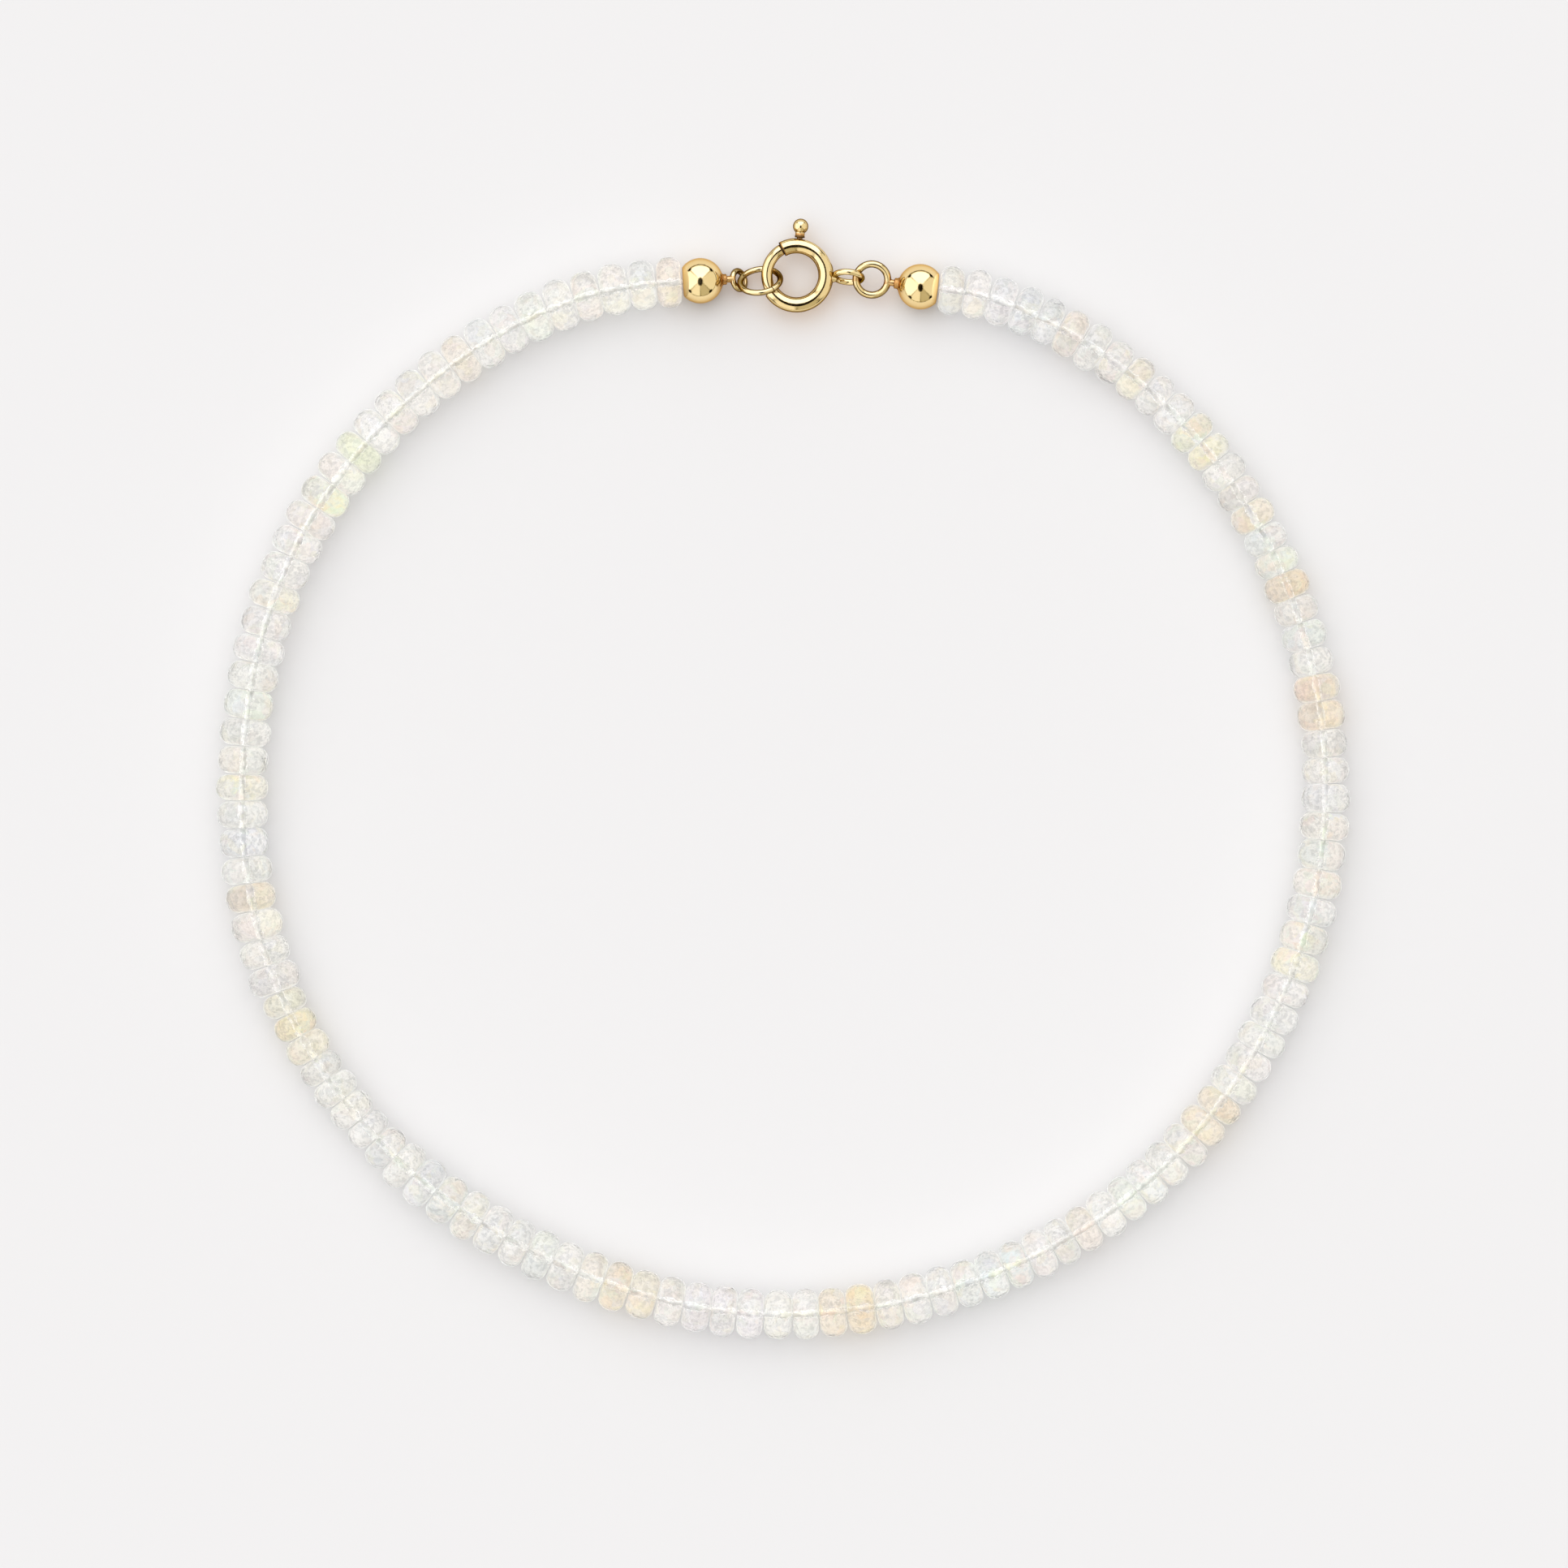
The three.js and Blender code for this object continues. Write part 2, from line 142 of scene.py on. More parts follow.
# The balls, the tube with its gate, and the thin rings are three golds: the painted shade on the flanks, the
# tint at the edges, how upright a face is with all of the flank shade and with none, and what shadows keep.
GOLDS = {
    "gold": ((0.85, 0.62, 0.30), (0.8, 0.6, 0.35), 0.3, 0.66, (0.3, 0.24, 0.2)),
    "gold_tube": ((0.38, 0.255, 0.085), (0.3, 0.2, 0.075), 0.36, 0.76, (0.66, 0.46, 0.18)),
    "gold_wire": ((0.25, 0.16, 0.045), (0.24, 0.16, 0.055), 0.5, 0.96, (0.6, 0.38, 0.1)),
}
GOLD_TONES = (0.97, 0.74, 0.36), (1.0, 0.78, 0.40)
# Colours of the shade painted into crevices and seams: faint, and deep.
THIN_CREVICE_SHADE, THICK_CREVICE_SHADE = (0.62, 0.32, 0.10), (0.07, 0.045, 0.02)
GOLD_SPOTS, GOLD_WEAR, GOLD_SCRATCHES = 600.0, 1500.0, 3500.0  # in repeats per metre
THREAD_SHADES = (0.70, 0.69, 0.66), (0.82, 0.81, 0.78)
FLOOR, FLOOR_UNDER_STONE = (0.605, 0.596, 0.596), (0.94, 0.92, 0.91)

# ---- Studio -------------------------------------------------------------------------------

# How bright the tent is to the +Y side, the +X and the -X half of the -Y side, the +X and the -X side.
WALLS_IN_METAL = (1.67, 0.56, 0.98, 0.87, 1.38)
WALLS_BEHIND_STONE = (1.8, 0.5, 0.5, 0.55, 1.45)
WALL_WARMTH = (1.0, 1.08, 1.45)  # powers of the brightness in red, green and blue
LIGHT_SLANT, LIGHT_TURN, LIGHT_STRENGTH = 62, 330, 3.36  # degrees above the floor and clockwise from +Y
BACKDROP = (0.91, 0.90, 0.90)
FLOOR_HALF, FLOOR_DROP = 4.0, 0.000002  # in metres
LENS, SENSOR = 200.0, 36.0
# Half of the width that the camera sees at VIEW_LEVEL, and the middle of what it sees, in millimetres.
VIEW_HALF_WIDTH, VIEW_LEVEL, VIEW_MIDDLE_Y = 46.851, 1.45, -0.29


# ---- Node helpers -------------------------------------------------------------------------


def new_material(name):
    mat = bpy.data.materials.new(name)
    mat.use_nodes = True
    tree = mat.node_tree
    tree.nodes.clear()
    out = tree.nodes.new("ShaderNodeOutputMaterial")
    return mat, tree, out


def node(tree, kind, **values):
    made = tree.nodes.new(kind)
    for key, value in values.items():
        setattr(made, key, value)
    return made


def feed(tree, socket, value):
    """Links an output into socket, or sets it to a plain value."""
    if isinstance(value, bpy.types.NodeSocket):
        tree.links.new(value, socket)
    elif isinstance(value, tuple) and socket.type == "RGBA":
        socket.default_value = (*value, 1.0)
    else:
        socket.default_value = value


def feed_all(tree, sockets, values):
    for socket, value in zip(sockets, values):
        feed(tree, socket, value)


def shader(tree, kind, values):
    """A shader with the sockets that values names."""
    made = node(tree, kind)
    for name, value in values.items():
        feed(tree, made.inputs[name], value)
    return made.outputs[0]


def mix_shaders(tree, share, a, b):
    """Shader a where share is 0, and b where it is 1."""
    made = node(tree, "ShaderNodeMixShader")
    feed_all(tree, made.inputs, (share, a, b))
    return made.outputs[0]


def calc(tree, operation, *values):
    made = node(tree, "ShaderNodeMath", operation=operation)
    feed_all(tree, made.inputs, values)
    return made.outputs[0]


def product(tree, value, *others):
    for other in others:
        value = calc(tree, "MULTIPLY", value, other)
    return value


def ramp(tree, value, low, high, to_low=0.0, to_high=1.0):
    """to_low where value is at or below low, to_high from high on, and a smooth change between."""
    made = node(tree, "ShaderNodeMapRange", interpolation_type="SMOOTHSTEP")
    sockets = [made.inputs[name] for name in ("Value", "From Min", "From Max", "To Min", "To Max")]
    feed_all(tree, sockets, (value, low, high, to_low, to_high))
    return made.outputs[0]


def pick(tree, test, yes, no):
    """One number or the other. The sockets are the node's share and its two numbers."""
    made = node(tree, "ShaderNodeMix", data_type="FLOAT")
    feed_all(tree, (made.inputs[0], made.inputs[2], made.inputs[3]), (test, no, yes))
    return made.outputs[0]


def blend(tree, share, a, b, mode="MIX"):
    """Two colours in one. The sockets are the node's share and its two colours."""
    made = node(tree, "ShaderNodeMix", data_type="RGBA", blend_type=mode)
    feed_all(tree, (made.inputs[0], made.inputs[6], made.inputs[7]), (share, a, b))
    return made.outputs[2]


def combined(tree, *values):
    """A colour from its red, green and blue."""
    made = node(tree, "ShaderNodeCombineColor")
    feed_all(tree, made.inputs, values)
    return made.outputs[0]


def attribute(tree, name, output="Fac"):
    return node(tree, "ShaderNodeAttribute", attribute_name=name).outputs[output]


def noise(tree, where, scale, detail=2.0, rough=0.5, output="Fac"):
    made = node(tree, "ShaderNodeTexNoise")
    feed(tree, made.inputs["Vector"], where)
    made.inputs["Scale"].default_value = scale
    made.inputs["Detail"].default_value = detail
    made.inputs["Roughness"].default_value = rough
    return made.outputs[output]


def bump(tree, height, distance, strength=1.0):
    made = node(tree, "ShaderNodeBump")
    made.inputs["Strength"].default_value = strength
    made.inputs["Distance"].default_value = distance
    feed(tree, made.inputs["Height"], height)
    return made.outputs[0]


# ---- Materials ----------------------------------------------------------------------------


def hue_patches(tree, where):
    """Small patches with bent edges, each of one hue."""
    bent = node(tree, "ShaderNodeVectorMath", operation="MULTIPLY_ADD")
    bends = noise(tree, where, PATCH_BENDS, output="Color")
    feed_all(tree, bent.inputs, (bends, (PATCH_BEND,) * 3, where))
    patches = node(tree, "ShaderNodeTexVoronoi", feature="F1")
    feed(tree, patches.inputs["Vector"], bent.outputs[0])
    patches.inputs["Scale"].default_value = HUE_PATCHES
    split = node(tree, "ShaderNodeSeparateColor")
    feed(tree, split.inputs[0], patches.outputs["Color"])
    hues = node(tree, "ShaderNodeValToRGB")
    hues.color_ramp.interpolation = "CONSTANT"
    while len(hues.color_ramp.elements) < len(HUES):
        hues.color_ramp.elements.new(0.5)
    for element, (place, colour) in zip(hues.color_ramp.elements, HUES):
        element.position = place
        element.color = (*colour, 1.0)
    feed(tree, hues.inputs[0], split.outputs[0])
    return hues.outputs[0]


def opal_material():
    """Clear to milky stone.

    The mesh says each stone's own colour, how much fire it holds, and how near its outside a point is.
    """
    mat, tree, out = new_material("opal")
    where = node(tree, "ShaderNodeTexCoord").outputs["Object"]
    stone = attribute(tree, "stone", "Color")
    skin = attribute(tree, "skin")
    path = node(tree, "ShaderNodeLightPath")

    # The stone's own colour gathers in parts of it, and fine clouds and feathers lie under the polish.
    gathered = ramp(tree, noise(tree, where, COLOUR_SPOTS), 0.36, 0.62, 0.25, 1.0)
    cloudy = ramp(tree, noise(tree, where, CLOUDS), 0.42, 0.66, 0.0, 0.4)
    feathery = ramp(tree, noise(tree, where, FEATHERS, rough=0.6), 0.47, 0.58, 0.0, 0.8)
    body = blend(tree, gathered, BARE_STONE, stone)
    body = blend(tree, cloudy, body, CLOUD_SHADE, "MULTIPLY")
    body = blend(tree, feathery, body, FEATHER_SHADE, "MULTIPLY")
    # The play of colour comes and goes through the stone.
    lit = ramp(tree, noise(tree, where, FIRE_SPOTS, 1.5), 0.46, 0.56)
    share = product(tree, lit, attribute(tree, "fire"), 0.75)
    # The outside is polished in faint waves, and the drilled hole is rough.
    waves = product(tree, noise(tree, where, POLISH_WAVES, 3.0, 0.55), skin)
    glass = shader(tree, "ShaderNodeBsdfPrincipled", {
        "Base Color": blend(tree, share, body, hue_patches(tree, where)),
        "Roughness": ramp(tree, skin, 0.0, 0.15, 0.5, 0.0),
        "IOR": 1.45,
        "Sheen Weight": 0.7,
        "Sheen Roughness": 0.3,
        "Transmission Weight": 0.96,
        "Normal": bump(tree, waves, 0.00008),
    })
    # Mirrored in the gold, a stone shows its milky side.
    milky = shader(tree, "ShaderNodeBsdfDiffuse", {"Color": MILKY_SIDE})
    outside = calc(tree, "LESS_THAN", path.outputs["Transmission Depth"], 0.5)
    mirrored = product(tree, path.outputs["Is Glossy Ray"], outside, 0.85)
    # A lamp shines through the stones, so that their shadow is pale.
    passed = blend(tree, 1.0, stone, STONE_PASSES, "MULTIPLY")
    passing = shader(tree, "ShaderNodeBsdfTransparent", {"Color": passed})
    whole = mix_shaders(tree, mirrored, glass, milky)
    whole = mix_shaders(tree, path.outputs["Is Shadow Ray"], whole, passing)
    feed(tree, out.inputs["Surface"], whole)
    return mat


def gold_material(name, flank_shade_colour, edge_tint, flank_shade_full, flank_shade_none, passed):
    """Polished yellow gold, with the faint swirls and soft spots that wear leaves.

    The mesh says where shade is painted into crevices.
    """
    mat, tree, out = new_material(name)
    where = node(tree, "ShaderNodeTexCoord").outputs["Object"]
    crevice_shade = attribute(tree, "crevice_shade")
    colour = blend(tree, ramp(tree, noise(tree, where, GOLD_SPOTS), 0.35, 0.65), *GOLD_TONES)
    # Painted shade: thin parts are darker on their upright flanks and in crevices.
    normal = node(tree, "ShaderNodeSeparateXYZ")
    feed(tree, normal.inputs[0], node(tree, "ShaderNodeTexCoord").outputs["Normal"])
    flank_shade = ramp(tree, calc(tree, "ABSOLUTE", normal.outputs[2]), flank_shade_full, flank_shade_none, 1.0, 0.0)
    colour = blend(tree, flank_shade, colour, flank_shade_colour)
    colour = blend(tree, ramp(tree, crevice_shade, 0.0, 0.5), colour, THIN_CREVICE_SHADE)
    colour = blend(tree, ramp(tree, crevice_shade, 0.4, 1.0), colour, THICK_CREVICE_SHADE)
    # Scratches run mostly one way.
    stretch = node(tree, "ShaderNodeMapping")
    feed(tree, stretch.inputs["Vector"], where)
    stretch.inputs["Scale"].default_value = (1.0, 9.0, 1.0)
    stretch.inputs["Rotation"].default_value = (0.3, 0.2, 0.6)
    scratches = noise(tree, stretch.outputs[0], GOLD_SCRATCHES, 4.0, 0.65)
    worn = ramp(tree, noise(tree, where, GOLD_WEAR, 3.0), 0.35, 0.75, 0.03, 0.09)
    # The gold is also rougher where crevice shade is painted.
    metal = shader(tree, "ShaderNodeBsdfPrincipled", {
        "Base Color": colour,
        "Metallic": 1.0,
        "Specular Tint": edge_tint,
        "Roughness": calc(tree, "ADD", worn, product(tree, crevice_shade, 0.4)),
        "Normal": bump(tree, scratches, 0.000004, 0.5),
    })
    # Gold throws warm light into its own shadow.
    glow = shader(tree, "ShaderNodeBsdfTransparent", {"Color": passed})
    in_shadow = node(tree, "ShaderNodeLightPath").outputs["Is Shadow Ray"]
    feed(tree, out.inputs["Surface"], mix_shaders(tree, in_shadow, metal, glow))
    return mat


def thread_material():
    """White silk thread, laid in a tight twist."""
    mat, tree, out = new_material("thread")
    wave = node(tree, "ShaderNodeTexWave", wave_type="BANDS", bands_direction="DIAGONAL")
    feed(tree, wave.inputs["Vector"], node(tree, "ShaderNodeUVMap", uv_map="lay").outputs[0])
    wave.inputs["Scale"].default_value = 1.0
    wave.inputs["Distortion"].default_value = 0.6
    silk = shader(tree, "ShaderNodeBsdfPrincipled", {
        "Base Color": blend(tree, wave.outputs["Fac"], *THREAD_SHADES),
        "Roughness": 0.55,
        "Sheen Weight": 0.3,
        "Normal": bump(tree, wave.outputs["Fac"], 0.00002, 0.8),
    })
    feed(tree, out.inputs["Surface"], silk)
    return mat


def floor_material():
    """Pale and dull. A stone gathers light on the floor under it, so the floor seen through one is paler."""
    mat, tree, out = new_material("floor")
    through = node(tree, "ShaderNodeLightPath").outputs["Is Transmission Ray"]
    plain = shader(tree, "ShaderNodeBsdfPrincipled", {
        "Base Color": blend(tree, through, FLOOR, FLOOR_UNDER_STONE),
        "Roughness": 0.9,
        "Specular IOR Level": 0.0,
    })
    feed(tree, out.inputs["Surface"], plain)
    return mat


# ---- Mesh helpers -------------------------------------------------------------------------


class Shape:
    """Points in millimetres and faces, gathered from closed lofts."""

    def __init__(self):
        self.points, self.faces = [], []

    def loft(self, rings, wrap=False, first=None, last=None):
        """Quads between neighbouring rings of equal size.

        wrap closes the last ring to the first. first and last are the tips of the end caps.
        """
        base, count, size = len(self.points), len(rings), len(rings[0])
        for ring in rings:
            self.points.extend(tuple(p) for p in ring)
        for i in range(count if wrap else count - 1):
            a, b = base + i * size, base + (i + 1) % count * size
            for j in range(size):
                k = (j + 1) % size
                self.faces.append((a + j, a + k, b + k, b + j))
        for start, tip in ((base, first), (base + (count - 1) * size, last)):
            if tip is not None:
                at = len(self.points)
                self.points.append(tuple(tip))
                self.faces.extend((start + j, start + (j + 1) % size, at) for j in range(size))
        return self

    def build(self, name, material, sharp=38):
        """The object, with edges that bend by more than sharp degrees left unsmoothed."""
        mesh = bpy.data.meshes.new(name)
        mesh.from_pydata([tuple(c * MM for c in p) for p in self.points], [], self.faces)
        finish_mesh(mesh, sharp)
        obj = bpy.data.objects.new(name, mesh)
        bpy.context.scene.collection.objects.link(obj)
        mesh.materials.append(material)
        return obj


def finish_mesh(mesh, sharp):
    work = bmesh.new()
    work.from_mesh(mesh)
    bmesh.ops.recalc_face_normals(work, faces=work.faces)
    for face in work.faces:
        face.smooth = True
    for edge in work.edges:
        edge.smooth = edge.calc_face_angle(0.0) < math.radians(sharp)
    work.to_mesh(mesh)
    work.free()
    mesh.update()


def give_values(mesh, name, values):
    """Stores one number for each point of mesh."""
    mesh.attributes.new(name, "FLOAT", "POINT").data.foreach_set("value", np.array(values, np.float32))


def mark(piece, name, measure):
    """Gives every point of piece a value from 0 to 1, worked out from its place in millimetres."""
    places = np.empty(len(piece.data.vertices) * 3, np.float32)
    piece.data.vertices.foreach_get("co", places)
    give_values(piece.data, name, [min(max(measure(p), 0.0), 1.0) for p in places.reshape(-1, 3) / MM])


def paint(piece, material, is_thin):
    """Gives material to the faces of piece whose middle passes is_thin."""
    piece.data.materials.append(material)
    for face in piece.data.polygons:
        if is_thin(np.array(face.center) / MM):
            face.material_index = 1


def fade(value, full, none):
    """1 up to full, 0 from none on."""
    return min(max((none - value) / (none - full), 0.0), 1.0)


def frame_along(direction):
    """direction at length 1, and two unit vectors square to it and to each other."""
    ahead = direction / np.linalg.norm(direction)
    side = np.cross(ahead, (0.0, 0.0, 1.0))
    if np.linalg.norm(side) < 1e-6:
        side = np.cross(ahead, (0.0, 1.0, 0.0))
    side /= np.linalg.norm(side)
    return ahead, side, np.cross(side, ahead)


def angles(count):
    return np.linspace(0, TAU, count, endpoint=False)


def circle(centre, side, up, radius, around):
    """Points round centre in the plane of side and up."""
    return [centre + radius * (math.cos(a) * side + math.sin(a) * up) for a in angles(around)]


def turned(shape, start, direction, profile, around=TURNED_AROUND):
    """A turned bar: profile holds (distance along, radius) from one tip to the other."""
    ahead, side, up = frame_along(np.asarray(direction, float))
    rings = [circle(start + ahead * along, side, up, radius, around) for along, radius in profile[1:-1]]
    return shape.loft(rings, first=start + ahead * profile[0][0], last=start + ahead * profile[-1][0])


def ring_matrix(ring):
    x, y, z, _, _, heading, slope, tilt = ring
    return (
        Matrix.Translation((x, y, z))
        @ Matrix.Rotation(math.radians(heading), 4, "Z")
        @ Matrix.Rotation(math.radians(-slope), 4, "Y")
        @ Matrix.Rotation(math.radians(tilt), 4, "X")
        @ Matrix.Rotation(math.pi / 2, 4, "X")
    )


def ring_centreline(ring):
    place, radius = ring_matrix(ring), ring[3]
    turns = angles(WIRE_STEPS)
    return np.array([place @ Vector((radius * math.cos(a), 0, radius * math.sin(a))) for a in turns])


def wire_ring(shape, ring, cut=None):
    """A round wire ring. cut is the angle on the ring where its ends meet, if it isn't soldered shut."""
    place, radius, wire = ring_matrix(ring), ring[3], ring[4]
    if cut is None:
        turns, widths = angles(WIRE_STEPS), [wire] * WIRE_STEPS
    else:
        start, stop = cut + CUT_HALF / radius, cut + TAU - CUT_HALF / radius
        ease = CUT_EASE / radius
        middle = np.linspace(start + ease, stop - ease, WIRE_STEPS)
        turns = [start, start + ease / 3, *middle, stop - ease / 3, stop]
        rounded = [wire * share for share in CUT_SHARES]
        widths = [*rounded, *[wire] * WIRE_STEPS, *rounded[::-1]]
    rings = []
    for a, w in zip(turns, widths):
        rings.append([
            place @ Vector((
                (radius + w * math.cos(b)) * math.cos(a),
                w * math.sin(b),
                (radius + w * math.cos(b)) * math.sin(a),
            ))
            for b in angles(WIRE_AROUND)
        ])
    if cut is None:
        return shape.loft(rings, wrap=True)
    return shape.loft(rings, first=np.mean(rings[0], axis=0), last=np.mean(rings[-1], axis=0))


# ---- The strand ---------------------------------------------------------------------------


def loop_radius(turn):
    """A smooth curve through the rows."""
    rows = LOOP_ROWS
    i = next((k - 1 for k in range(1, len(rows)) if turn <= rows[k][0]), len(rows) - 2)

    def slope(k):
        before, after = rows[max(k - 1, 0)], rows[min(k + 1, len(rows) - 1)]
        return (after[1] - before[1]) / (after[0] - before[0])

    (ta, ra), (tb, rb) = rows[i], rows[i + 1]
    span = tb - ta
    u = (turn - ta) / span
    return (
        ra
        + (rb - ra) * u * u * (3 - 2 * u)
        + u * (1 - u) ** 2 * span * slope(i)
        + u * u * (u - 1) * span * slope(i + 1)
    )


def strand_table(count=6001):
    """How far along the strand each of count points is, and where it is in plan."""
    turns = np.linspace(LOOP_ROWS[0][0], LOOP_ROWS[-1][0], count)
    radii = np.array([loop_radius(t) for t in turns])
    turns = np.radians(turns)
    xy = np.stack([LOOP_CENTRE[0] + radii * np.sin(turns), LOOP_CENTRE[1] + radii * np.cos(turns)], axis=1)
    steps = np.linalg.norm(np.diff(xy, axis=0), axis=1)
    return np.concatenate([[0.0], np.cumsum(steps)]), xy


ALONG, LINE = strand_table()
STRAND_LENGTH = ALONG[-1]


def strand_at(along, step=0.05):
    """The strand's point in plan and its direction, at a distance from its start."""
    x, y = (np.interp(along, ALONG, LINE[:, k]) for k in (0, 1))
    before = [np.interp(max(along - step, 0), ALONG, LINE[:, k]) for k in (0, 1)]
    after = [np.interp(min(along + step, STRAND_LENGTH), ALONG, LINE[:, k]) for k in (0, 1)]
    ahead = np.array([after[0] - before[0], after[1] - before[1], 0.0])
    return np.array([x, y, 0.0]), ahead / np.linalg.norm(ahead)


def chart_beads():
    """Each bead's length, radius and stretch of the strand."""
    beads = []
    for count, length, width in BEAD_RUNS:
        for _ in range(count):
            i = len(beads)
            stray = [((i + 1) * step) % 1 - 0.5 for step in (LENGTH_STEP, WIDTH_STEP)]
            beads.append({
                "length": length * (1 + 2 * LENGTH_SCATTER * stray[0]),
                "radius": width * (1 + 2 * WIDTH_SCATTER * stray[1]) / 2,
            })
    fit = STRAND_LENGTH / sum(b["length"] for b in beads)
    place = 0.0
    for b in beads:
        b["start"] = place
        place += b["length"] * fit
        b["end"] = place
    return beads


def stone_profile(half, radius):
    """A stone's section as (along, radius), from its belly over one end, through the hole and back."""
    face = STONE_FACE * radius
    side = [(0.0, radius)]
    for turn in np.radians(range(9, 91, 9)):
        side.append((half * math.sin(turn) ** 0.96, face + (radius - face) * math.cos(turn) ** 0.86))
    # The end is all but flat, and the edge of the hole is rounded.
    side += [
        (half + 0.004, 0.42 * radius), (half - 0.002, DRILL + 0.05),
        (half - 0.03, DRILL + 0.012), (half - 0.07, DRILL),
    ]
    return side + [(0.0, DRILL)] + [(-along, r) for along, r in reversed(side[1:])]


def stone_rings(bead, profile, stray):
    """Rings round one stone that rests on the floor. The height of its hole is noted in bead."""
    middle, ahead = strand_at((bead["start"] + bead["end"]) / 2)
    side = np.cross(ahead, (0, 0, 1.0))
    lean = stray.uniform(-1, 1, 2) * math.radians(STONE_LEAN)
    ahead, side, up = frame_along(ahead + side * lean[0] + np.array([0, 0, lean[1]]))
    waves = stray.uniform(0, TAU, 3)
    sizes = stray.uniform(0.3, 1, 3) * LUMPS
    around = angles(STONE_AROUND)
    lump = 1 + sum(s * np.cos((k + 2) * around + w) for k, (s, w) in enumerate(zip(sizes, waves)))
    lump -= sizes.sum() * 0.7
    rings = []
    for along, r in profile:
        grow = 1 + (lump - 1) * np.clip((r - DRILL) / (0.5 * bead["radius"]), 0, 1)
        rings.append([
            middle + ahead * along + r * g * (math.cos(a) * side + math.sin(a) * up)
            for a, g in zip(around, grow)
        ])
    low = min(p[2] for ring in rings for p in ring)
    bead["height"] = STONE_REST - low
    return [[p - (0, 0, low - STONE_REST) for p in ring] for ring in rings]


def add_stones(material):
    """The stones, in the same stretches as the part's beads."""
    beads = chart_beads()
    stray = np.random.default_rng(11)
    for first in range(0, len(beads), BEADS_PER_STRETCH):
        shape, colours, fires, skins = Shape(), [], [], []
        for i in range(first, first + BEADS_PER_STRETCH):
            bead = beads[i]
            half = (bead["end"] - bead["start"]) / 2 - STONE_GAP
            if i in (0, len(beads) - 1):
                half -= GAP / 2
            profile = stone_profile(half, bead["radius"])
            shape.loft(stone_rings(bead, profile, stray), wrap=True)
            tint, fire = KINDS[CHART.get(i, "clear")]
            tint = tint * (1 + stray.uniform(-1, 1, 3) * TINT_STRAY)
            count = len(profile) * STONE_AROUND
            colours += [(*np.clip(tint, 0, 0.995), 1.0)] * count
            fires += [fire * stray.uniform(*FIRE_STRAY)] * count
            skins += [min(max((r - DRILL) / SKIN, 0.0), 1.0) for _, r in profile for _ in range(STONE_AROUND)]
        number = f"{first // BEADS_PER_STRETCH + 1:02d}"
        piece = shape.build(f"stones_{number}", material, sharp=50)
        stone = piece.data.color_attributes.new("stone", "FLOAT_COLOR", "POINT")
        stone.data.foreach_set("color", np.array(colours, np.float32).ravel())
        give_values(piece.data, "fire", fires)
        give_values(piece.data, "skin", skins)
        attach(piece, "root")
        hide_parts(f"beads_{number}")
    return beads


def add_thread(material, beads):
    """The thread runs through every stone and into both balls."""
    centres = [(b["start"] + b["end"]) / 2 for b in beads]
    heights = [b["height"] for b in beads]
    rings = []
    for along in np.linspace(0.0, STRAND_LENGTH, THREAD_RINGS):
        point, ahead = strand_at(along)
        point[2] = np.interp(along, centres, heights)
        _, side, up = frame_along(ahead)
        rings.append(circle(point, side, up, THREAD, THREAD_AROUND))
    shape = Shape().loft(rings, first=np.mean(rings[0], axis=0), last=np.mean(rings[-1], axis=0))
    piece = shape.build("thread", material)
    lay = piece.data.uv_layers.new(name="lay")
    for loop in piece.data.loops:
        row, place = divmod(loop.vertex_index, THREAD_AROUND)
        lay.data[loop.index].uv = (
            place / THREAD_AROUND * LAY_AROUND,
            row * STRAND_LENGTH / THREAD_RINGS * LAY_ALONG,
        )
    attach(piece, "root")


# ---- The ball ends and the jump ring ------------------------------------------------------


def ball_profile():
    """The ball from inside the hole in its flat face, over the face and its rim, to the far side."""
    rim = math.acos(BALL_FLAT / BALL_RADIUS)
    flat_radius = BALL_RADIUS * math.sin(rim)
    profile = [
        (-0.5, 0.0), (-0.5, BALL_HOLE), (-BALL_FLAT + 0.05, BALL_HOLE), (-BALL_FLAT, BALL_HOLE + 0.05),
        (-BALL_FLAT, flat_radius - 0.07), (-BALL_FLAT + 0.012, flat_radius - 0.025),
    ]
    for turn in np.linspace(math.pi - rim - 0.02, 0, 40):
        profile.append((BALL_RADIUS * math.cos(turn), BALL_RADIUS * math.sin(turn)))
    return profile


def collar_profile(collar, end, reach, soft=0.05):
    """The collar from inside the ball to its soft outer edge at end, and the neck that goes on to reach."""
    return [
        (collar - 0.3, 0.0), (collar - 0.3, COLLAR_RADIUS + 0.06), (collar + 0.005, COLLAR_RADIUS + 0.06),
        (collar + 0.04, COLLAR_RADIUS + 0.015), (collar + 0.09, COLLAR_RADIUS), (end - soft, COLLAR_RADIUS),
        (end - soft * 0.3, COLLAR_RADIUS - soft * 0.3), (end, COLLAR_RADIUS - soft),
        (end + 0.02, NECK_RADIUS), (reach - 0.12, NECK_RADIUS), (reach, NECK_RADIUS * 0.9), (reach, 0.0),
    ]


